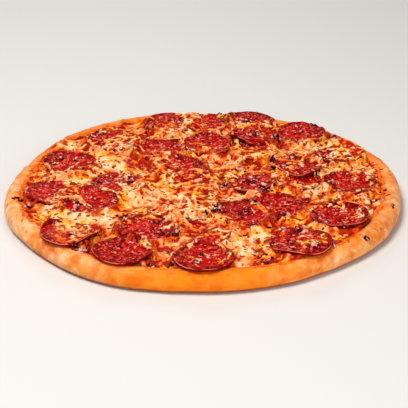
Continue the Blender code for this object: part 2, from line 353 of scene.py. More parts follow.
def crust_colour(tree):
    """Golden and pale in stretches, with floury patches that are partly painted highlight, toasted
    freckles and blisters, a red stain inside, and a browned foot with painted contact shade.
    """
    pale, toast = stored(tree, "pale"), stored(tree, "toast")
    cloudy = patches(tree, 30 * MM, 0.34, 0.66, seed=1.0)
    floury = patches(tree, 13 * MM, 0.36, 0.66, seed=9.0, detail=3.0)
    share = plus(tree, times(tree, cloudy, 0.5), times(tree, floury, 0.6), 0.25)
    share = maths(tree, "MINIMUM", times(tree, pale, share), 1.0)
    colour = tint(tree, share, GOLDEN, CREAM_DOUGH)
    # Floury patches where the rim is pale, brightened so that they also stand for painted
    # highlights.
    bright = times(tree, patches(tree, 12 * MM, 0.50, 0.68, seed=15.0, detail=3.0), pale, 0.7)
    colour = tint(tree, bright, colour, FLOUR_AND_HIGHLIGHT)
    dusted = times(tree, patches(tree, 4 * MM, 0.54, 0.62, seed=21.0, detail=3.0), pale, 0.6)
    colour = tint(tree, dusted, colour, FLOUR_AND_HIGHLIGHT)
    ruddy = times(tree, patches(tree, 7 * MM, 0.52, 0.64, seed=22.0, detail=3.0), 0.35)
    colour = tint(tree, ruddy, colour, OILY_STAIN)
    deeper = times(tree, patches(tree, 12 * MM, 0.46, 0.66, seed=7.0), 0.5)
    colour = tint(tree, deeper, colour, DEEP_GOLD)
    freckle = patches(tree, 4.5 * MM, 0.58, 0.64, seed=3.0, detail=3.0)
    browner = plus(tree, times(tree, pale, 0.35), times(tree, toast, 0.8))
    colour = tint(tree, times(tree, freckle, browner), colour, TOASTED)
    colour = tint(tree, times(tree, toast, 0.5), colour, BLISTERED)
    # The foot is darkened both by its real browning and by painted contact shade where it meets the
    # floor.
    colour = tint(tree, times(tree, stored(tree, "foot"), 0.8), colour, TOASTED)
    stain = times(tree, stored(tree, "stain"), patches(tree, 6 * MM, 0.36, 0.56, seed=12.0))
    return tint(tree, stain, colour, OILY_STAIN)


def rim_section(angle):
    """The rim's section in each of these directions: its inset and height from the foot inwards."""
    top = RIM_HEIGHT + waves(RIM_WAVES, angle)
    still = np.ones_like(angle)
    inset = [share * FOOT_INSET for share, _ in FOOT_SECTION]
    inset += [share * RIM_WIDTH for share, _ in RIM_SECTION]
    inset += [share * RIM_WIDTH for share in SLOPE_INSETS]
    height = [share * top for _, share in FOOT_SECTION + RIM_SECTION]
    height += [0.5 * (0.93 * top + BASE_THICKNESS), BASE_THICKNESS * still]
    section = np.stack([np.array(inset)[:, None] * still, np.array(height)], axis=2)
    return through(section, CRUST_ACROSS)


def blisters(points):
    """Small blisters on the rim: how far up each of them every point is, its size, its browning."""
    draw = random.Random(5)
    for _ in range(BLISTERS):
        at = draw.uniform(-0.6, math.pi + 0.6)
        away = PIZZA_RADIUS - draw.uniform(1, 15) * MM
        size = draw.uniform(*BLISTER_RADIUS)
        across, up = points[:, 0] - away * math.cos(at), points[:, 1] - away * math.sin(at)
        yield smooth(0, 1, 1 - np.hypot(across, up) / size), size, draw.uniform(0.15, 0.9)


def pale_stretches(angle):
    """How pale the rim is in each of these directions."""
    pale = np.zeros_like(angle)
    for at, half, strength in PALE_STRETCHES:
        apart = np.abs((np.degrees(angle) - at + 180) % 360 - 180)
        pale = np.maximum(pale, strength * smooth(half, 0.25 * half, apart))
    return pale


def make_crust():
    """The rim's section carried round the outline, swollen, blistered and crumpled inside."""
    angle = np.arange(CRUST_AROUND) * math.tau / CRUST_AROUND
    profile = rim_section(angle)
    radius = PIZZA_RADIUS + waves(OUTLINE_WAVES, angle) - profile[:, :, 0]
    x, y = radius * np.cos(angle) - CENTRE_X, radius * np.sin(angle) - CENTRE_Y
    points = np.stack([x, y, np.maximum(profile[:, :, 1], 0)], axis=2)
    along = np.roll(points, -1, axis=1) - np.roll(points, 1, axis=1)
    outwards = np.cross(along, np.gradient(points, axis=0))
    outwards /= np.linalg.norm(outwards, axis=2, keepdims=True)
    flat = points.reshape(-1, 3)
    inner = smooth(11 * MM, 17 * MM, profile[:, :, 0]).ravel()
    calm = np.tile(0.35 + 0.65 * smooth(-0.75, 0.1, np.sin(angle)), (CRUST_ACROSS, 1)).ravel()
    swell = DOUGH_SWELL * (lumps(flat, 17 * MM) + 0.45 * lumps(flat, 6 * MM, 1) * calm)
    swell += DOUGH_PORES * lumps(flat, 1.3 * MM, 2) + CRUMPLE * inner * lumps(flat, 3 * MM, 3)
    toast = np.zeros(len(flat))
    for bump, size, browned in blisters(flat):
        swell += bump * size * BLISTER_HEIGHT
        toast = np.maximum(toast, bump * browned)
    swell *= smooth(0, 3 * MM, flat[:, 2])
    flat = flat + outwards.reshape(-1, 3) * swell[:, None]
    oil, bumps = (11 * MM, 0.45, 0.55, 0.32), [(6 * MM, 0.5 * MM), (1.8 * MM, 0.18 * MM)]
    finish = food("baked dough", crust_colour, oil, bumps, gloss=0.045, shine=0.03)
    piece = solid("baked_crust", flat, ring_faces(CRUST_ACROSS, CRUST_AROUND), finish)
    outer = smooth(15 * MM, 4 * MM, profile[:, :, 0])
    paint(piece, "pale", (0.06 + pale_stretches(angle) * (0.35 + 0.65 * outer)).ravel())
    paint(piece, "toast", toast)
    # foot marks the base of the rim: browned underside and painted contact shade together.
    paint(piece, "foot", smooth(4.0 * MM, 2.2 * MM, flat[:, 2]))
    uneven = 3.5 * MM * lumps(flat, 7 * MM, 4) + 2 * MM * lumps(flat, 2.5 * MM, 5)
    halo = smooth(2.2 * MM, 0, past_slices(flat[:, 0], flat[:, 1]) + 0.4 * uneven)
    edge = smooth(11 * MM, 15 * MM, profile[:, :, 0].ravel() + uneven)
    paint(piece, "stain", np.clip(0.85 * edge + 0.8 * halo, 0, 1))
    return piece


crust = make_crust()
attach(crust, "root")
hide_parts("crust")

# The tomato sauce.
# A thin cooked film of sauce and red oil that shows past the cheese's edge, on the inner slope
# of the rim. It was spread by hand, so its edge is ragged.
CHEESE_RADIUS = 134 * MM
CHEESE_EDGE_WAVES = ((4, 1.6 * MM, 30), (7, 1.5 * MM, 200), (13, 1.2 * MM, 95))
SAUCE_REACH = 2.2 * MM
SAUCE_THICKNESS = 0.5 * MM
# The film is modelled on a square grid: its step, and how far it goes from the middle.
SAUCE_STEP = 1.1 * MM
SAUCE_GRID = 147 * MM
# How far the thin sheets reach down into the base, so that no gap shows under them.
SUNK = 0.4 * MM
RED_OIL = (0.90, 0.20, 0.006)
COOKED_SAUCE = (0.72, 0.08, 0.004)


def lumps_at(x, y, size, seed):
    """The same noise as lumps() on level ground, for places given by x and y."""
    level = np.stack([x, y, np.zeros_like(x)], axis=-1)
    return lumps(level, size, seed).reshape(np.shape(x))


def grid(half, step):
    """The x and y of a square grid's points, out to about this far from the middle."""
    count = int(2 * half / step)
    steps = (np.arange(count) - (count - 1) / 2) * step
    return np.meshgrid(steps, steps)


def whole_cells(keep):
    """A grid's cells that have all four of their corners kept."""
    return keep[:-1, :-1] & keep[1:, :-1] & keep[:-1, 1:] & keep[1:, 1:]


def cell_faces(number, cells):
    """The faces of these cells, for a grid whose points have these numbers."""
    corners = (number[:-1, :-1], number[:-1, 1:], number[1:, 1:], number[1:, :-1])
    return np.stack([corner[cells] for corner in corners], axis=1).tolist()


def surface_tree(*pieces):
    """One search tree over these pieces' surfaces."""
    work = bmesh.new()
    for piece in pieces:
        work.from_mesh(piece.data)
    bmesh.ops.triangulate(work, faces=work.faces)
    tree = BVHTree.FromBMesh(work)
    work.free()
    return tree


def heights(tree, x, y, from_below=False, missing=np.nan):
    """The surface's height at each of these places, seen from above or from below."""
    start, way = (-1.0, 1.0) if from_below else (1.0, -1.0)
    found = []
    for at_x, at_y in zip(np.ravel(x), np.ravel(y)):
        hit = tree.ray_cast(Vector((at_x, at_y, start)), Vector((0, 0, way)))[0]
        found.append(missing if hit is None else hit.z)
    return np.array(found).reshape(np.shape(x))


def draped_sheet(name, x, y, top, keep, finish, under):
    """A closed body under a height field: its kept cells, side walls, and below them either a
    second layer at the heights in under, or a flat base at the height that under gives."""
    cells = whole_cells(keep)
    # Two cells that touch at one corner alone would share a wall's edge, so one of them goes.
    cells[1:, 1:] &= ~(cells[:-1, :-1] & ~cells[1:, :-1] & ~cells[:-1, 1:])
    cells[:-1, 1:] &= ~(cells[1:, :-1] & ~cells[1:, 1:] & ~cells[:-1, :-1])
    used = np.zeros(x.shape, bool)
    for rows in (slice(None, -1), slice(1, None)):
        for columns in (slice(None, -1), slice(1, None)):
            used[rows, columns] |= cells
    number = np.full(x.shape, -1)
    number[used] = np.arange(used.sum())
    faces = cell_faces(number, cells)
    points = np.stack([x[used], y[used], top[used]], axis=1)
    edges = {(a, b) for face in faces for a, b in zip(face, face[1:] + face[:1])}
    rim = [(a, b) for a, b in edges if (b, a) not in edges]
    if isinstance(under, np.ndarray):
        lower = np.stack([x[used], y[used], under[used]], axis=1)
        count = len(points)
        faces += [[i + count for i in reversed(face)] for face in faces]
        faces += [[b, a, a + count, b + count] for a, b in rim]
        points = np.concatenate([points, lower])
    else:
        ends = sorted({a for edge in rim for a in edge})
        below = {end: len(points) + i for i, end in enumerate(ends)}
        lower = points[ends] * (1, 1, 0) + (0, 0, under)
        points = np.concatenate([points, lower])
        faces += [[b, a, below[a], below[b]] for a, b in rim]
        faces += loops([(below[b], below[a]) for a, b in rim])
    mesh = bpy.data.meshes.new(name)
    mesh.from_pydata(points.tolist(), [], faces)
    mesh.validate()
    mesh.shade_smooth()
    mesh.materials.append(finish)
    made = bpy.data.objects.new(name, mesh)
    bpy.context.scene.collection.objects.link(made)
    return made


def loops(edges):
    """The closed loops that these directed edges form, each as one face."""
    after = {}
    for a, b in edges:
        after.setdefault(a, []).append(b)
    found = []
    while after:
        first = next(iter(after))
        loop, here = [], first
        while here in after:
            loop.append(here)
            following = after[here].pop()
            if not after[here]:
                del after[here]
            here = following
        found.append(loop)
    return found


def cheese_edge(x, y):
    """How far inside the cheese's uneven edge these places are. Negative outside it."""
    x, y = x + CENTRE_X, y + CENTRE_Y
    ragged = 2.6 * MM * lumps_at(x, y, 8 * MM, 6) + 1.6 * MM * lumps_at(x, y, 3 * MM, 7)
    angle = np.arctan2(y, x)
    wider_at_back = 3 * MM * smooth(0, 0.8, np.sin(angle))
    edge = CHEESE_RADIUS + 2.5 * MM + wider_at_back + waves(CHEESE_EDGE_WAVES, angle)
    return edge + ragged - np.hypot(x, y)


def sauce_colour(tree):
    """Red oil where the film is thin, and cooked sauce where it is thick."""
    return tint(tree, patches(tree, 3 * MM, 0.40, 0.62, seed=6.0), RED_OIL, COOKED_SAUCE)


CRUST_TREE = surface_tree(crust)


def make_sauce():
    """A ring of thin film over the crust, a little wider than the cheese on both sides."""
    x, y = grid(SAUCE_GRID, SAUCE_STEP)
    edge = cheese_edge(x, y)
    inside = edge + SAUCE_REACH + 2.4 * MM * lumps_at(x, y, 5.5 * MM, 12)
    keep = (inside > -1.5 * MM) & (edge < 5 * MM)
    top = np.zeros_like(x)
    top[keep] = heights(CRUST_TREE, x[keep], y[keep], missing=0)
    top += np.minimum(SAUCE_THICKNESS, inside * 0.4)
    oil, bumps = (4 * MM, 0.6, 0.5, 0.3), [(2.5 * MM, 0.25 * MM)]
    finish = food("tomato sauce", sauce_colour, oil, bumps, gloss=0.05, shine=0.02)
    return draped_sheet("tomato_sauce", x, y, top, keep, finish, BASE_THICKNESS - SUNK)


sauce = make_sauce()
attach(sauce, "root")

# The melted cheese.
# Grated cheese that melted into one lumpy sheet, with the strands still showing. Orange oil and
# tomato sauce gather between the strands and round the slices, and the tops are toasted.
CHEESE_THICKNESS = 2.6 * MM
LUMP_SIZE = 21 * MM
LUMP_HEIGHT = 1.0 * MM
GAP = 0.35 * MM
# The steps and reaches of the sheet's grid and of the field that holds the strands' relief.
CHEESE_STEP = 0.95 * MM
CHEESE_GRID = 143 * MM
FIELD_STEP = 0.5 * MM
FIELD_REACH = 150 * MM
STRANDS = 1750
STRAND_LENGTH = (7 * MM, 22 * MM)
STRAND_RADIUS = (1.1 * MM, 2.3 * MM)
STRAND_RELIEF = 1.9 * MM
# How far apart a strand's rounds are laid, as a share of its radius.
STRIDE = 0.6
# How wide and how high the cheese melted up against the slices.
BANK_WIDTH = 6 * MM
BANK_HEIGHT = 2.3 * MM
CREAM = (0.97, 0.68, 0.37)
BUTTER = (0.97, 0.45, 0.030)
PINKISH_BUTTER = (0.98, 0.43, 0.145)
ORANGE_OIL = (0.91, 0.150, 0.005)
SAUCE = (0.40, 0.006, 0.001)
SAUCE_STAIN = (0.55, 0.030, 0.003)
BROWNED = (0.26, 0.006, 0.001)
# Where the cheese is palest, partly from its paler melt and partly painted light that brightens
# shaded hollows beside the slices: the middle of each place, in millimetres, and its reach.
PALE_AND_LIT_PLACES = (
    (-54, -26, 20), (-5, -55, 15), (-70, -61, 17), (-90, -54, 12), (-95, 8, 18), (24, -94, 17),
    (28, -110, 13), (-76, 38, 19), (-28, -7, 18), (100, 25, 17), (-7, -36, 16), (103, 58, 24),
    (-25, 88, 16), (79, -12, 13), (88, 64, 18), (-66, -10, 20), (-88, -88, 17), (83, -88, 13),
    (117, -50, 12), (24, -129, 10), (92, 12, 12), (53, 107, 11), (-82, 56, 14), (-113, -47, 13),
    (34, -85, 11), (-18, 107, 12), (43, -107, 8), (-66, 71, 13), (34, 104, 11),
)
# Where it is thinnest and reddest, in the same way.
REDDEST = (
    (6, 82, 24), (34, 84, 28), (58, 82, 22), (-48, 45, 18), (-7, 17, 20), (-14, -2, 9),
    (-60, -64, 11), (26, -69, 16), (70, -12, 12), (-35, 118, 26), (45, 20, 14), (42, -119, 13),
    (-56, -46, 9), (-13, -17, 12), (-24, -97, 10), (-37, 10, 11), (60, 40, 12), (2, 56, 15),
    (-27, 56, 11), (28, 56, 11), (-56, -70, 9),
)


def blurred(field, rounds):
    """A field softened by averaging it with its neighbours, several times over."""
    for _ in range(rounds):
        for axis in (0, 1):
            field = 0.5 * field + 0.25 * (np.roll(field, 1, axis) + np.roll(field, -1, axis))
    return field


def strand_field(draw):
    """The relief of many melted strands lying over one another, from 0 to 1, on a square grid."""
    cells = int(2 * FIELD_REACH / FIELD_STEP)
    field = np.zeros((cells, cells))
    for _ in range(STRANDS):
        away, at = CHEESE_RADIUS * math.sqrt(draw.random()), draw.uniform(0, math.tau)
        x, y, way = away * math.cos(at), away * math.sin(at), draw.uniform(0, math.tau)
        length, wide = draw.uniform(*STRAND_LENGTH), draw.uniform(*STRAND_RADIUS)
        tall = draw.uniform(0.45, 1)
        bend = draw.uniform(-1, 1) * 1.4 / length
        reach = int(wide / FIELD_STEP) + 2
        for _ in range(int(length / (STRIDE * wide))):
            x, y = x + STRIDE * wide * math.cos(way), y + STRIDE * wide * math.sin(way)
            way += bend * STRIDE * wide
            column = int((x + FIELD_REACH) / FIELD_STEP)
            row = int((y + FIELD_REACH) / FIELD_STEP)
            if not (reach < column < cells - reach and reach < row < cells - reach):
                break
            near = slice(row - reach, row + reach + 1), slice(column - reach, column + reach + 1)
            rows, columns = np.mgrid[near]
            across = columns * FIELD_STEP - FIELD_REACH - x
            up = rows * FIELD_STEP - FIELD_REACH - y
            apart = np.hypot(across, up) / wide
            part = field[near]
            np.maximum(part, tall * np.sqrt(np.clip(1 - apart**2, 0, 1)), out=part)
    return blurred(field, 2)


def read_field(field, x, y):
    """A square field's value at these places, between its cells."""
    column = np.clip((x + FIELD_REACH) / FIELD_STEP, 0, field.shape[1] - 2)
    row = np.clip((y + FIELD_REACH) / FIELD_STEP, 0, field.shape[0] - 2)
    c, r = column.astype(int), row.astype(int)
    u, v = column - c, row - r
    low = field[r, c] * (1 - u) + field[r, c + 1] * u
    return low * (1 - v) + (field[r + 1, c] * (1 - u) + field[r + 1, c + 1] * u) * v


def places_of(piece):
    """Every point of a piece, one row each."""
    flat = np.empty(3 * len(piece.data.vertices))
    piece.data.vertices.foreach_get("co", flat)
    return flat.reshape(-1, 3)


def cheese_lumps(x, y):
    """How far the cheese stands above or below its level, as on its solid."""
    level = np.stack([x + CENTRE_X, y + CENTRE_Y, np.zeros_like(x)], axis=-1).reshape(-1, 3)
    broad = np.array([noise.noise(Vector(p) / LUMP_SIZE) for p in level])
    raised = level + (0, 0, LUMP_SIZE)
    fine = np.array([noise.noise(Vector(p) * 2.3 / LUMP_SIZE) for p in raised])
    return (LUMP_HEIGHT * (broad + 0.5 * fine)).reshape(x.shape)


def cheese_colour(tree):
    """Cream on the strands, yellow and orange in the oil between them, red by the slices."""
    grain = patches(tree, 4.5 * MM, 0.36, 0.64, seed=2.0, detail=3.0)
    broad = patches(tree, 22 * MM, 0.36, 0.64, seed=5.0)
    creamy = plus(
        tree,
        times(tree, stored(tree, "strands"), 0.66),
        times(tree, grain, 0.44),
        times(tree, broad, 0.16),
        times(tree, stored(tree, "pale"), 0.28),
    )
    colour = tint(tree, between(tree, creamy, 0.36, 0.54), SAUCE, ORANGE_OIL)
    pinker = patches(tree, 22 * MM, 0.42, 0.54, seed=16.0, detail=3.0)
    butter = tint(tree, pinker, BUTTER, PINKISH_BUTTER)
    colour = tint(tree, between(tree, creamy, 0.58, 0.82), colour, butter)
    colour = tint(tree, between(tree, creamy, 0.84, 1.08), colour, CREAM)
    reddened = times(tree, stored(tree, "halo"), between(tree, creamy, 1.15, 0.45))
    colour = tint(tree, reddened, colour, SAUCE_STAIN)
    speck = patches(tree, 4.2 * MM, 0.59, 0.62, seed=11.0, detail=1.0)
    return tint(tree, times(tree, speck, 0.9), colour, BROWNED)


CHEESE_FINISH = food(
    "melted cheese",
    cheese_colour,
    oil=(5 * MM, 0.5, 0.5, 0.24),
    bump=[(3 * MM, 0.7 * MM), (1.1 * MM, 0.15 * MM)],
    gloss=0.12,
    shine=0.04,
    translucence=0.03,
)
CAD_SLICES_TREE = surface_tree(*[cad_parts[name] for name in SLICES])
STRAND_FIELD = strand_field(random.Random(3))


def bent_disc(name):
    """A smooth surface through a slice's underside: a function of x and y from its centre."""
    centre_x, centre_y, radius = SLICES[name]
    tree = surface_tree(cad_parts[name])
    share, angle = np.meshgrid((0.0, 0.2, 0.4, 0.55, 0.75, 0.92), np.arange(16) * math.tau / 16)
    x, y = radius * share * np.cos(angle), radius * share * np.sin(angle)
    z = heights(tree, centre_x + x, centre_y + y, from_below=True)
    known = ~np.isnan(z)

    def basis(across, up):
        away, at = np.hypot(across, up) / radius, np.arctan2(up, across)
        terms = [np.ones_like(away), away**2, away**4]
        for lobes in (1, 2, 3, 4):
            for power in (lobes, lobes + 2) if lobes < 3 else (lobes,):
                terms += [away**power * np.cos(lobes * at), away**power * np.sin(lobes * at)]
        return np.stack(terms, axis=-1)

    weights = np.linalg.lstsq(basis(x[known], y[known]), z[known], rcond=None)[0]
    return lambda across, up: basis(across, up) @ weights


UNDERSIDES = {name: bent_disc(name) for name in SLICES}


def front_edge(x, y):
    """1 along the pizza's front edge, where the slices' edges lie bare, and 0 further in."""
    away = np.hypot(x, y)
    return smooth(112 * MM, 128 * MM, away) * smooth(0.2, -0.4, y / (away + MM))


def banked(x, y, level):
    """The cheese's height where it has melted up against the edges of the slices."""
    eager = smooth(-0.45, 0.05, lumps_at(x, y, 9 * MM, 14))
    bare = front_edge(x, y)
    highest = level.copy()
    for name, (centre_x, centre_y, radius) in SLICES.items():
        across, up = x - centre_x, y - centre_y
        away = np.hypot(across, up)
        near = (away > radius - 2 * MM) & (away < radius + BANK_WIDTH)
        share = radius / away[near]
        edge = UNDERSIDES[name](across[near] * share, up[near] * share)
        rise = edge + BANK_HEIGHT - (BANK_HEIGHT + GAP) * bare[near] - level[near]
        amount = np.maximum(eager[near], bare[near]) * smooth(9 * MM, 6.5 * MM, rise)
        amount *= smooth(BANK_WIDTH * (1 - 0.4 * bare[near]), 0.4 * MM, away[near] - radius)
        highest[near] = np.maximum(highest[near], level[near] + amount * rise)
    return highest


def near_places(table, x, y):
    """1 at the middle of each of a table's places, and less the further away."""
    shares = []
    for at_x, at_y, reach in table:
        apart = (x - at_x * MM) ** 2 + (y - at_y * MM) ** 2
        shares.append(np.exp(-2 * apart / (reach * MM) ** 2))
    return np.max(shares, axis=0)


def paleness(x, y):
    """How pale the cheese is at these places, painted light included: from -1 where it is reddest
    to 1.
    """
    return near_places(PALE_AND_LIT_PLACES, x, y) - near_places(REDDEST, x, y)


def melted(strands, x, y):
    """The strands' relief, run together where the cheese is palest."""
    return strands + 0.65 * near_places(PALE_AND_LIT_PLACES, x, y) * (0.78 - strands)


def make_cheese():
    """The sheet over the base, raised by its strands, banked up at the slices and kept under
    them."""
    x, y = grid(CHEESE_GRID, CHEESE_STEP)
    inside = cheese_edge(x, y)
    keep = inside > -1.6 * MM
    ground = np.full(x.shape, BASE_THICKNESS)
    near_rim = keep & (np.hypot(x, y) > 120 * MM)
    ground[near_rim] = heights(CRUST_TREE, x[near_rim], y[near_rim], missing=BASE_THICKNESS)
    strands = melted(read_field(STRAND_FIELD, x, y), x, y)
    full = CHEESE_THICKNESS + cheese_lumps(x, y)
    layer = np.where(inside > 0, full * (1 - np.exp(-inside / (2.6 * MM))), inside)
    top = ground + GAP + layer - 0.3 * MM
    top = banked(x, y, top) + STRAND_RELIEF * (strands - 0.6) * smooth(0, 3 * MM, inside)
    below_slices = heights(CAD_SLICES_TREE, x[keep], y[keep], from_below=True)
    top[keep] = np.fmin(top[keep], below_slices + 0.6 * MM)
    base = BASE_THICKNESS - SUNK
    piece = draped_sheet("melted_cheese", x, y, top, keep, CHEESE_FINISH, base)
    places = places_of(piece)
    strands = read_field(STRAND_FIELD, places[:, 0], places[:, 1])
    paint(piece, "strands", melted(strands, places[:, 0], places[:, 1]))
    rough = 2.2 * MM * lumps(places, 5 * MM, 9)
    near = past_slices(places[:, 0], places[:, 1]) + rough
    paint(piece, "halo", 0.9 * smooth(4.0 * MM, 0, near))
    # The paleness includes painted light in shaded hollows beside the slices.
    paint(piece, "pale", paleness(places[:, 0], places[:, 1]))
    return piece


cheese = make_cheese()
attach(cheese, "root")
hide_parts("cheese")

# The pepperoni.
# Coarse-ground cured sausage cut into slices. Baking curls their edges up and darkens them, and
# the melted fat leaves the tops wet. Each slice follows what it lies on, as its solid does.
SLICE_THICKNESS = 1.9 * MM
SLICE_AROUND = 84
SLICE_ACROSS = 20
EDGE_ROUND = 0.5 * MM
LIP = 0.35 * MM
# How the round edge turns down: at each angle, how much of the cut side's dark colour and of
# the painted highlight line along the rim there is.
EDGE_TURNS = ((0.4, 0.0, 0.6), (0.8, 0.0, 1.0), (1.2, 0.5, 0.8), (math.pi / 2, 1.0, 0.0))
CENTRE_SHARE = 0.04
MEAT_DEEP = (0.37, 0.001, 0.002)
MEAT_RED = (0.48, 0.001, 0.001)
MEAT_WARM = (0.57, 0.008, 0.005)
MEAT_DARK = (0.16, 0.0005, 0.0005)
MEAT_BRIGHT = (0.84, 0.085, 0.055)
FAT_AND_GLINT = (0.93, 0.36, 0.28)
SEARED = (0.12, 0.001, 0.001)
CUT_SIDE = (0.22, 0.002, 0.001)
RIM_HIGHLIGHT = (0.90, 0.26, 0.15)


def pepperoni_colour(tree):
    """Coarse red meat with darker and brighter grains, flecks of fat that also stand for painted
    glints, seared at the edge, and a painted highlight line along the rim.
    """
    colour = tint(tree, stored(tree, "tone"), MEAT_DEEP, MEAT_RED)
    colour = tint(tree, patches(tree, 9 * MM, 0.38, 0.62, seed=1.5), colour, MEAT_WARM)
    dark = patches(tree, 3.8 * MM, 0.52, 0.56, seed=2.5, detail=2.0)
    colour = tint(tree, times(tree, dark, 0.85), colour, MEAT_DARK)
    bright = patches(tree, 2.8 * MM, 0.56, 0.60, seed=6.5, detail=2.5)
    colour = tint(tree, times(tree, bright, 0.8), colour, MEAT_BRIGHT)
    # Flecks of fat, pale enough to also stand for painted glints.
    fat = patches(tree, 2.3 * MM, 0.61, 0.65, seed=3.5, detail=1.5)
    colour = tint(tree, times(tree, fat, 0.8), colour, FAT_AND_GLINT)
    seared = times(tree, stored(tree, "edge"), patches(tree, 8 * MM, 0.36, 0.56, seed=4.5), 0.8)
    colour = tint(tree, seared, colour, SEARED)
    colour = tint(tree, times(tree, stored(tree, "side"), 0.95), colour, CUT_SIDE)
    # A painted highlight line along the top of the round edge, broken in patches.
    rim_highlight = times(tree, stored(tree, "rim"), patches(tree, 13 * MM, 0.44, 0.58, seed=8.5), 0.9)
    return tint(tree, rim_highlight, colour, RIM_HIGHLIGHT)


PEPPERONI_FINISH = food(
    "pepperoni",
    pepperoni_colour,
    oil=(4 * MM, 0.45, 0.6, 0.3),
    bump=[(3.2 * MM, 0.8 * MM), (1.2 * MM, 0.25 * MM)],
    gloss=0.03,
    shine=0.01,
)


def make_slice(name, number):
    """A slice on its solid's underside: rings from the middle out, round the edge and back."""
    centre_x, centre_y, radius = SLICES[name]
    underside = UNDERSIDES[name]
    angle = np.arange(SLICE_AROUND) * math.tau / SLICE_AROUND
    around = np.stack([3 * np.cos(angle) + 9 * number, 3 * np.sin(angle), 0 * angle], axis=1)
    uneven = 1 + 0.012 * lumps(around, 1.0, number) + 0.006 * lumps(around, 0.4, number)
    shares = np.linspace(CENTRE_SHARE, 1, SLICE_ACROSS)
    rings = [(radius * share - EDGE_ROUND, 0.0, 0.0, 0.0) for share in shares]
    for turn, side_share, highlight_share in EDGE_TURNS:
        away = radius - EDGE_ROUND * (1 - math.sin(turn))
        drop = -EDGE_ROUND * (1 - math.cos(turn))
        rings.append((away, drop, side_share, highlight_share))
    rings.append((radius, EDGE_ROUND - SLICE_THICKNESS, 1.0, 0.0))
    rings.append((radius - EDGE_ROUND, -SLICE_THICKNESS, 0.5, 0.0))
    for share in (0.5, CENTRE_SHARE):
        rings.append((radius * share, -SLICE_THICKNESS, 0.0, 0.0))
    points, edge, side, rim = [], [], [], []
    for away, drop, on_side, on_highlight in rings:
        across, up = away * uneven * np.cos(angle), away * uneven * np.sin(angle)
        here = np.full_like(angle, max(away, 0) / radius)
        lip = LIP * smooth(0.74, 1.0, here) * (0.6 + 0.4 * np.sin(2 * angle + number))
        z = underside(across, up) + SLICE_THICKNESS + drop + lip
        points.append(np.stack([centre_x + across, centre_y + up, z], axis=1))
        edge.append(smooth(0.55, 1.0, here))
        side.append(np.full_like(angle, on_side))
        rim.append(np.full_like(angle, on_highlight))
    points = np.concatenate(points)
    on_top = np.repeat([1.0 if ring[1] > -EDGE_ROUND else 0.0 for ring in rings], SLICE_AROUND)
    relief = 0.30 * lumps(points, 7 * MM, 20) + 0.17 * lumps(points, 2.4 * MM, 21)
    points[:, 2] += MM * relief * on_top
    faces = ring_faces(len(rings), SLICE_AROUND)
    piece = solid(f"pepperoni_{number:02d}", points, faces, PEPPERONI_FINISH)
    paint(piece, "edge", np.concatenate(edge))
    paint(piece, "side", np.concatenate(side))
    # rim holds the painted highlight line along the top of the round edge.
    paint(piece, "rim", np.concatenate(rim))
    paint(piece, "tone", np.full(len(points), random.Random(number).random()))
    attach(piece, "root")
    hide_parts(name)
    return piece


slices = [make_slice(name, number) for number, name in enumerate(SLICES, 1)]

# The melted cheese over the slices.
# Part of the grated cheese went on last, so it melted over the pepperoni in thin lacy patches.
# They cover some slices nearly whole and only touch the edge of others.
PATCH_STEP = 0.9 * MM
PATCH_THICKNESS = 1.1 * MM
PATCH_DEPTH = 0.5 * MM
PATCH_GRID = 138 * MM
# How far over a slice's edge a patch may reach, as a share of the slice's radius.
PATCH_REACH = 1.16
# For each slice: about how much of it is covered, and the direction that the cheese comes from,
# in degrees. A share over 1 covers the whole slice and its edge.
COVERED = {
    1: (0.78, 290), 2: (0.62, 220), 3: (0.52, 285), 4: (0.12, 300), 5: (0.62, 315),
    6: (0.36, 260), 7: (0.52, 270), 8: (0.36, 270), 9: (0.76, 20), 10: (0.42, 290),
    11: (0.40, 200), 12: (0.50, 225), 13: (0.62, 270), 14: (0.42, 120), 15: (0.22, 10),
    16: (0.44, 0), 17: (0.40, 320), 18: (0.28, 190), 19: (1.10, 270), 20: (0.22, 60),
    21: (0.10, 40), 22: (0.80, 230), 23: (0.32, 15), 24: (1.35, 15), 25: (0.46, 330),
    26: (0.50, 280), 27: (0.36, 100), 28: (0.34, 60), 29: (0.36, 180), 30: (0.26, 220),
}
SURFACE_STEP = 1.0 * MM
SURFACE_REACH = 149 * MM
TOPPED = surface_tree(crust, cheese, sauce, *slices)


def surface_grid(tree):
    """The height of everything laid so far, on a square grid over the pizza."""
    x, y = grid(SURFACE_REACH, SURFACE_STEP)
    z = np.full(x.shape, np.nan)
    near = np.hypot(x, y) < SURFACE_REACH
    z[near] = heights(tree, x[near], y[near])
    return x, y, z


def cover_at(x, y):
    """How far these places are inside a patch of cheese over a slice. Negative outside."""
    best = np.full(x.shape, -9.0)
    creeping = 1 - front_edge(x, y)
    for number, (centre_x, centre_y, radius) in enumerate(SLICES.values(), 1):
        share, side = COVERED[number]
        across, up = (x - centre_x) / radius, (y - centre_y) / radius
        side = math.radians(side)
        from_side = across * math.cos(side) + up * math.sin(side)
        away = np.hypot(across, up)
        outside = smooth(0.83 + 0.14 * creeping, PATCH_REACH - 0.2 * (1 - creeping), away)
        level = 1.9 * (share - 0.5) + 0.75 * np.clip(from_side, -1, 1) - 3 * outside
        level += 0.45 * creeping * smooth(0.6, 0.95, away)
        level -= 6 * smooth(PATCH_REACH, PATCH_REACH + 0.3, away)
        best = np.maximum(best, level)
    return best


LACE_FIELD = strand_field(random.Random(8))


def patch_level(x, y):
    """How far these places are inside the lacy patches. Negative outside."""
    rough = lumps_at(x, y, 8 * MM, 30) + 0.7 * lumps_at(x, y, 3.5 * MM, 31)
    return cover_at(x, y) + 1.7 * (read_field(LACE_FIELD, x, y) - 0.62) + 0.5 * rough


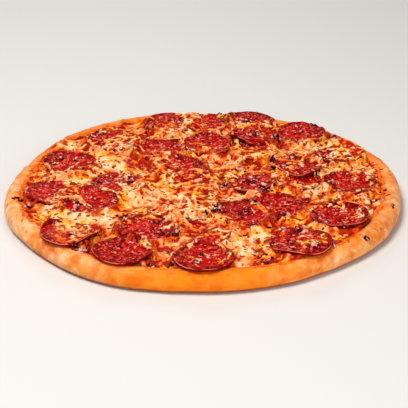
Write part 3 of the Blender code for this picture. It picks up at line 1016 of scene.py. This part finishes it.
def make_patches():
    """Thin sheets that follow what lies under them, thickest along their strands."""
    x, y = grid(PATCH_GRID, PATCH_STEP)
    level = patch_level(x, y)
    keep = level > 0
    below = np.full(x.shape, BASE_THICKNESS)
    wide = blurred(keep.astype(float), 4) > 0
    below[wide] = heights(TOPPED, x[wide], y[wide], missing=BASE_THICKNESS)
    soft = np.maximum(below, blurred(below, 2))
    stringy = 0.4 + 0.6 * read_field(LACE_FIELD, x, y)
    top = soft + PATCH_THICKNESS * smooth(0, 0.6, level) * stringy
    under = below - PATCH_DEPTH
    piece = draped_sheet("cheese_over_pepperoni", x, y, top, keep, CHEESE_FINISH, under)
    places = places_of(piece)
    paint(piece, "strands", read_field(LACE_FIELD, places[:, 0], places[:, 1]))
    paint(piece, "halo", 0.45 * smooth(0.35, 0.0, patch_level(places[:, 0], places[:, 1])))
    # The paleness includes painted light in shaded hollows beside the slices.
    paint(piece, "pale", paleness(places[:, 0], places[:, 1]))
    return piece


cheese_over = make_patches()
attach(cheese_over, "root")

# The charred red onion.
# Finely chopped red onion, scattered by hand before baking. It shrank and charred to purple-black,
# and lies in loose groups with single pieces between them and a few on the bare rim.
# Each group's middle and its width, in millimetres.
ONION_CLUSTERS = (
    (-56, -60, 12), (-42, -53, 8), (-31, -88, 9), (-44, -100, 8), (-59, -109, 7), (-35, -130, 8),
    (-22, -130, 8), (-5, -131, 8), (3, -123, 4), (10, -55, 10), (28, -53, 12), (35, -38, 9),
    (-20, -88, 6), (28, -86, 4), (-8, -103, 5), (56, 44, 8), (70, 44, 8), (98, -3, 8),
    (127, -1, 5), (134, -14, 5), (128, -31, 6), (138, -43, 3), (80, -45, 6), (86, -68, 7),
    (100, -80, 6), (56, -79, 7), (65, -86, 8), (59, -101, 7), (75, -111, 7), (59, -117, 6),
    (37, -113, 6), (39, -128, 4), (89, -106, 4), (36, -35, 7), (58, -58, 6), (45, -11, 10),
    (73, -25, 7), (96, 42, 6), (114, 44, 6), (128, 28, 4), (-115, 40, 8), (-100, 42, 8),
    (-95, 21, 5), (-122, 28, 6), (-123, 13, 5), (-61, 0, 10), (-75, -3, 7), (-26, 66, 8),
    (-100, -37, 6), (-93, -45, 7), (-129, -40, 6), (-120, -63, 5), (-107, -74, 8), (-120, -80, 4),
    (-90, -91, 9), (-84, -110, 8), (-33, -69, 8), (-88, 94, 7), (41, 92, 9), (62, 21, 9),
    (36, 0, 10), (25, 17, 8), (35, 121, 8), (-46, 107, 7), (81, 96, 6), (16, -7, 7), (-13, 60, 7),
    (59, 79, 7), (2, 79, 7), (108, 88, 6), (114, -95, 4), (93, 110, 6), (-21, 123, 6),
    (16, 135, 7), (-138, -30, 6), (-136, -18, 7), (-143, -48, 5), (-102, -76, 5), (-21, 40, 6),
    (42, -119, 9),
)
# Where the largest single pieces lie, in millimetres.
LARGE_ONIONS = (
    (-107, -74), (-84, -110), (10, -55), (-42, -95), (59, 79), (75, -111), (113, -91), (96, -9),
    (-5, -134), (56, -80), (35, 114), (-56, -3), (-93, -43), (45, -9), (58, -119), (-20, -89),
)
CHARRED = (0.085, 0.002, 0.003)
PURPLE = (0.25, 0.005, 0.014)
PALE_ONION = (0.86, 0.42, 0.38)
GLINT = (0.78, 0.36, 0.34)
# How many waves a metre the noise has that makes each scattered piece irregular.
CRUMPLE_WAVES = 480.0


def scatter_tree():
    """A node tree that scatters small irregular pieces over a surface, where its mask is high."""
    tree = bpy.data.node_groups.new("scattered pieces", "GeometryNodeTree")
    start, end = sockets(
        tree,
        {
            "Geometry": ("Geometry", None),
            "Mask": ("String", ""),
            "Density": ("Float", 1e4),
            "Spacing": ("Float", 1 * MM),
            "Smallest": ("Vector", None),
            "Largest": ("Vector", None),
            "Lean": ("Float", 0.3),
            "Lift": ("Float", 0.0),
            "Crumple": ("Float", 0.3),
            "Detail": ("Int", 2),
            "Seed": ("Int", 0),
            "Material": ("Material", None),
        },
        {"Geometry": "Geometry"},
    )
    given = start.outputs
    mask_name = {"Name": given["Mask"]}
    mask = add(tree, "GeometryNodeInputNamedAttribute", mask_name, data_type="FLOAT").outputs[0]
    spots = add(
        tree,
        "GeometryNodeDistributePointsOnFaces",
        {
            "Mesh": given["Geometry"],
            "Distance Min": given["Spacing"],
            "Density Max": given["Density"],
            "Density Factor": mask,
            "Seed": given["Seed"],
        },
        distribute_method="POISSON",
    )
    # The two kinds of random value have their limits and result on other sockets of one node.
    first_socket = {"FLOAT": 2, "FLOAT_VECTOR": 0}

    def scaled(vector, by):
        values = {0: vector, "Scale": by}
        return add(tree, "ShaderNodeVectorMath", values, operation="SCALE").outputs[0]

    def moved(geometry, offset):
        values = {"Geometry": geometry, "Offset": offset}
        return add(tree, "GeometryNodeSetPosition", values).outputs[0]

    def draw(low, high, step, kind="FLOAT"):
        first, terms = first_socket[kind], {0: given["Seed"], 1: step}
        seed = add(tree, "FunctionNodeIntegerMath", terms, operation="ADD").outputs[0]
        limits = {first: low, first + 1: high, "Seed": seed}
        node = add(tree, "FunctionNodeRandomValue", limits, data_type=kind)
        return node.outputs[first // 2]

    def turned(rotation, axis, angle):
        values = {"Axis": axis, "Angle": angle}
        turn = add(tree, "FunctionNodeAxisAngleToRotation", values).outputs[0]
        values = {0: rotation, 1: turn}
        node = add(tree, "FunctionNodeRotateRotation", values, rotation_space="LOCAL")
        return node.outputs[0]

    raised = moved(spots.outputs["Points"], scaled(spots.outputs["Normal"], given["Lift"]))
    rotation = turned(spots.outputs["Rotation"], (0, 0, 1), draw(0.0, math.tau, 1))
    lean = draw(-1.0, 1.0, 2)
    rotation = turned(rotation, (1, 0, 0), times(tree, lean, given["Lean"]))
    ball = {"Radius": 0.5, "Subdivisions": given["Detail"]}
    pebble = add(tree, "GeometryNodeMeshIcoSphere", ball)
    placed = add(
        tree,
        "GeometryNodeInstanceOnPoints",
        {
            "Points": raised,
            "Instance": pebble.outputs["Mesh"],
            "Rotation": rotation,
            "Scale": draw(given["Smallest"], given["Largest"], 3, "FLOAT_VECTOR"),
        },
    )
    toned = add(
        tree,
        "GeometryNodeStoreNamedAttribute",
        {"Geometry": placed.outputs[0], "Name": "tone", "Value": draw(0.0, 1.0, 4)},
        data_type="FLOAT",
        domain="INSTANCE",
    )
    real = add(tree, "GeometryNodeRealizeInstances", {"Geometry": toned.outputs[0]})
    where = add(tree, "GeometryNodeInputPosition").outputs[0]
    ripple = {"Vector": where, "Scale": CRUMPLE_WAVES, "Detail": 2.0}
    shape = add(tree, "ShaderNodeTexNoise", ripple).outputs["Color"]
    middle = {0: shape, 1: (0.5, 0.5, 0.5)}
    shift = add(tree, "ShaderNodeVectorMath", middle, operation="SUBTRACT").outputs[0]
    bent = moved(real.outputs[0], scaled(shift, given["Crumple"]))
    soft = add(tree, "GeometryNodeSetShadeSmooth", {"Geometry": bent})
    dressed = {"Geometry": soft.outputs[0], "Material": given["Material"]}
    last = add(tree, "GeometryNodeSetMaterial", dressed)
    tree.links.new(last.outputs[0], end.inputs["Geometry"])
    return tree


SCATTER = scatter_tree()


def scattered(name, surface, values):
    """Runs the scattering tree on a surface and keeps what it makes as a plain mesh."""
    holder = bpy.data.objects.new(name + " ground", surface)
    bpy.context.scene.collection.objects.link(holder)
    modifier = holder.modifiers.new("scatter", "NODES")
    modifier.node_group = SCATTER
    for item in SCATTER.interface.items_tree:
        if item.in_out == "INPUT" and item.name in values:
            modifier[item.identifier] = values[item.name]
    ready = holder.evaluated_get(bpy.context.evaluated_depsgraph_get())
    mesh = bpy.data.meshes.new_from_object(ready)
    mesh.name = name
    bpy.data.objects.remove(holder)
    made = bpy.data.objects.new(name, mesh)
    bpy.context.scene.collection.objects.link(made)
    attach(made, "root")
    return made


LAID = surface_tree(crust, cheese, sauce, cheese_over, *slices)


def ground_mesh():
    """The surface of everything laid so far, as a mesh to scatter on and not to show."""
    x, y, z = surface_grid(LAID)
    keep = ~np.isnan(z)
    number = np.full(x.shape, -1)
    number[keep] = np.arange(keep.sum())
    points = np.stack([x[keep], y[keep], z[keep]], axis=1)
    mesh = bpy.data.meshes.new("ground")
    mesh.from_pydata(points.tolist(), [], cell_faces(number, whole_cells(keep)))
    return mesh, points


GROUND, GROUND_POINTS = ground_mesh()


def store_mask(name, values):
    """Stores a mask from 0 to 1 on the ground mesh, for the scattering tree to read."""
    layer = GROUND.attributes.new(name, "FLOAT", "POINT")
    layer.data.foreach_set("value", np.clip(values, 0, 1).astype(np.float32))


def onion_mask():
    """Thick in each group, and a little everywhere inside the rim."""
    x, y = GROUND_POINTS[:, 0], GROUND_POINTS[:, 1]
    thick = 0.007 * smooth(138 * MM, 128 * MM, np.hypot(x, y))
    for at_x, at_y, spread in ONION_CLUSTERS:
        apart = np.hypot(x - at_x * MM, y - at_y * MM) / (0.5 * spread * MM)
        thick = np.maximum(thick, 1.25 * np.exp(-0.5 * apart**2) - 0.25)
    return thick


def spot_mesh(spots):
    """A tiny square at each of these spots, on top of everything laid so far."""
    half = 0.3 * MM
    corners = ((-half, -half), (half, -half), (half, half), (-half, half))
    mesh = bpy.data.meshes.new("spots")
    points, faces = [], []
    for at_x, at_y in spots:
        x, y = at_x * MM, at_y * MM
        z = heights(LAID, [x], [y])[0]
        faces.append([len(points) + i for i in range(4)])
        points += [(x + across, y + up, z) for across, up in corners]
    mesh.from_pydata(points, [], faces)
    mesh.attributes.new("spot", "FLOAT", "POINT").data.foreach_set("value", [1.0] * len(points))
    return mesh


def onion_colour(tree):
    """Most pieces are charred black, some purple, and a few pale where the onion shows, with small
    painted highlights over them.
    """
    tone = stored(tree, "tone")
    colour = tint(tree, between(tree, tone, 0.50, 0.60), CHARRED, PURPLE)
    colour = tint(tree, between(tree, tone, 0.70, 0.76), colour, PALE_ONION)
    burnt = patches(tree, 2.6 * MM, 0.54, 0.60, seed=21.0)
    colour = tint(tree, times(tree, burnt, 0.85), colour, CHARRED)
    # Painted highlights: small pale glints laid over the pieces' colour.
    glints = patches(tree, 2.2 * MM, 0.61, 0.64, seed=22.0, detail=1.0)
    return tint(tree, times(tree, glints, 0.8), colour, GLINT)


ONION_FINISH = food(
    "charred onion",
    onion_colour,
    oil=(2 * MM, 0.5, 0.5, 0.2),
    bump=[(1.6 * MM, 0.5 * MM)],
    gloss=0.06,
    shine=0.02,
)
store_mask("onion", onion_mask())
onion = scattered(
    "charred_onion",
    GROUND,
    {
        "Mask": "onion",
        "Density": 260000.0,
        "Spacing": 1.8 * MM,
        "Smallest": (1.6 * MM, 1.4 * MM, 0.8 * MM),
        "Largest": (4.4 * MM, 3.2 * MM, 1.8 * MM),
        "Lean": 0.5,
        "Lift": 0.3 * MM,
        "Crumple": 2.4 * MM,
        "Detail": 2,
        "Seed": 4,
        "Material": ONION_FINISH,
    },
)
large_onion = scattered(
    "large_charred_onion",
    spot_mesh(LARGE_ONIONS),
    {
        "Mask": "spot",
        "Density": 4e7,
        "Spacing": 3 * MM,
        "Smallest": (4.2 * MM, 3.4 * MM, 2.0 * MM),
        "Largest": (6.4 * MM, 4.8 * MM, 2.8 * MM),
        "Lean": 0.3,
        "Lift": 0.4 * MM,
        "Crumple": 1.8 * MM,
        "Detail": 4,
        "Seed": 21,
        "Material": ONION_FINISH,
    },
)

# The toasted flecks.
# Small dry bits that the oven browned: cheese crumbs, herb and onion skin. They lie thick near
# the slices and thin on the open cheese.
FLECK_DARK = (0.32, 0.010, 0.002)
FLECK_BROWN = (0.50, 0.028, 0.004)
FLECK_GOLD = (0.66, 0.085, 0.012)


def fleck_mask():
    """In uneven clouds, thicker by the slices, and spilt on the rim at the left and the right."""
    x, y = GROUND_POINTS[:, 0], GROUND_POINTS[:, 1]
    uneven = lumps(GROUND_POINTS, 13 * MM, 40)
    near = smooth(7 * MM, 0, past_slices(x, y))
    angle = np.degrees(np.arctan2(y, x))
    spilt = np.maximum(smooth(14, 4, np.abs(angle + 168)), smooth(18, 6, np.abs(angle - 2)))
    away = np.hypot(x, y) - 8 * MM * spilt
    return (0.30 + 0.45 * uneven + 0.35 * near + 0.2 * spilt) * smooth(141 * MM, 130 * MM, away)


def fleck_colour(tree):
    """From dark to golden brown, each fleck in one tone."""
    tone = stored(tree, "tone")
    colour = tint(tree, between(tree, tone, 0.0, 0.5), FLECK_DARK, FLECK_BROWN)
    return tint(tree, between(tree, tone, 0.5, 1.0), colour, FLECK_GOLD)


FLECK_FINISH = food(
    "toasted flecks",
    fleck_colour,
    oil=(2 * MM, 0.4, 0.6, 0.3),
    bump=[(0.9 * MM, 0.2 * MM)],
    gloss=0.02,
    shine=0.01,
)
store_mask("fleck", fleck_mask())
flecks = scattered(
    "toasted_flecks",
    GROUND,
    {
        "Mask": "fleck",
        "Density": 60000.0,
        "Spacing": 2.2 * MM,
        "Smallest": (1.3 * MM, 1.1 * MM, 0.5 * MM),
        "Largest": (4.2 * MM, 2.6 * MM, 1.0 * MM),
        "Lean": 0.2,
        "Lift": -0.05 * MM,
        "Crumple": 1.8 * MM,
        "Detail": 2,
        "Seed": 9,
        "Material": FLECK_FINISH,
    },
)

# The oil beads.
# Red-orange oil that melted out of the pepperoni in the oven. It stands in small drops on the
# cheese and the slices.
OIL_DEEP = (0.85, 0.20, 0.02)
OIL_BRIGHT = (0.92, 0.42, 0.08)


def bead_mask():
    """In uneven clouds, and none on the rim."""
    inside = smooth(139 * MM, 130 * MM, np.hypot(GROUND_POINTS[:, 0], GROUND_POINTS[:, 1]))
    return (0.5 + 0.6 * lumps(GROUND_POINTS, 9 * MM, 45)) * inside


def bead_colour(tree):
    """Each drop in one tone."""
    return tint(tree, stored(tree, "tone"), OIL_DEEP, OIL_BRIGHT)


BEAD_FINISH = food(
    "oil beads",
    bead_colour,
    oil=(3 * MM, 0.8, 0.2, 0.08),
    bump=[(2 * MM, 0.05 * MM)],
    gloss=1.0,
    shine=0.3,
)
store_mask("bead", bead_mask())
beads = scattered(
    "oil_beads",
    GROUND,
    {
        "Mask": "bead",
        "Density": 22000.0,
        "Spacing": 2.5 * MM,
        "Smallest": (0.5 * MM, 0.5 * MM, 0.3 * MM),
        "Largest": (1.5 * MM, 1.3 * MM, 0.6 * MM),
        "Lean": 0.05,
        "Lift": 0.0,
        "Crumple": 0.2 * MM,
        "Detail": 2,
        "Seed": 15,
        "Material": BEAD_FINISH,
    },
)

# The floor, the lights and the camera.
# A plain pale surface under soft studio light, seen from the height of someone sitting at it.
# The camera stands straight in front, and its lens and tilt give the photograph's framing.
MIDDLE = Vector((0, 0, 8 * MM))
CAMERA_DISTANCE = 0.9
CAMERA_ELEVATION = math.radians(25.19)
CAMERA_TILT = math.radians(25.93)
# In millimetres, for a 36 mm wide sensor.
FOCAL_LENGTH = 103.4
FLOOR_SIZE = 6.0
FLOOR_COLOUR = (0.80, 0.79, 0.77, 1)
FLOOR_ROUGHNESS = 0.7
WARM_WHITE = (1.0, 0.98, 0.95)
NEUTRAL_WHITE = (1.0, 1.0, 1.0)
ROOM_COLOUR = (1.0, 0.97, 0.94, 1)
ROOM_STRENGTH = 0.26


def make_floor():
    """The surface that the pizza lies on."""
    half = FLOOR_SIZE / 2
    points = [(-half, -half, 0), (half, -half, 0), (half, half, 0), (-half, half, 0)]
    finish = bpy.data.materials.new("pale floor")
    finish.use_nodes = True
    shader = finish.node_tree.nodes["Principled BSDF"]
    shader.inputs["Base Color"].default_value = FLOOR_COLOUR
    shader.inputs["Roughness"].default_value = FLOOR_ROUGHNESS
    return solid("floor", points, [(0, 1, 2, 3)], finish)


def soft_light(name, place, size, power, colour):
    """A round lamp of this width and power that points at the middle of the pizza."""
    lamp = bpy.data.lights.new(name, "AREA")
    lamp.shape = "DISK"
    lamp.size = size
    lamp.energy = power
    lamp.color = colour
    holder = bpy.data.objects.new(name, lamp)
    holder.location = place
    holder.rotation_euler = (MIDDLE - Vector(place)).to_track_quat("-Z", "Y").to_euler()
    bpy.context.scene.collection.objects.link(holder)


make_floor()
soft_light("key light", place=(-0.45, -0.3, 1.3), size=0.6, power=15, colour=WARM_WHITE)
soft_light("back light", place=(-0.2, 1.2, 0.9), size=0.5, power=3, colour=NEUTRAL_WHITE)
soft_light("fill light", place=(0.5, -1.0, 0.4), size=0.8, power=5, colour=WARM_WHITE)

world = bpy.data.worlds.new("studio")
world.use_nodes = True
room = world.node_tree.nodes["Background"]
room.inputs["Color"].default_value = ROOM_COLOUR
room.inputs["Strength"].default_value = ROOM_STRENGTH
bpy.context.scene.world = world
bpy.context.scene.view_settings.view_transform = "Standard"

lens = bpy.data.cameras.new("camera")
lens.lens = FOCAL_LENGTH
camera = bpy.data.objects.new("camera", lens)
back = Vector((0, -math.cos(CAMERA_ELEVATION), math.sin(CAMERA_ELEVATION)))
camera.location = MIDDLE + CAMERA_DISTANCE * back
camera.rotation_euler = (math.pi / 2 - CAMERA_TILT, 0, 0)
bpy.context.scene.collection.objects.link(camera)
bpy.context.scene.camera = camera
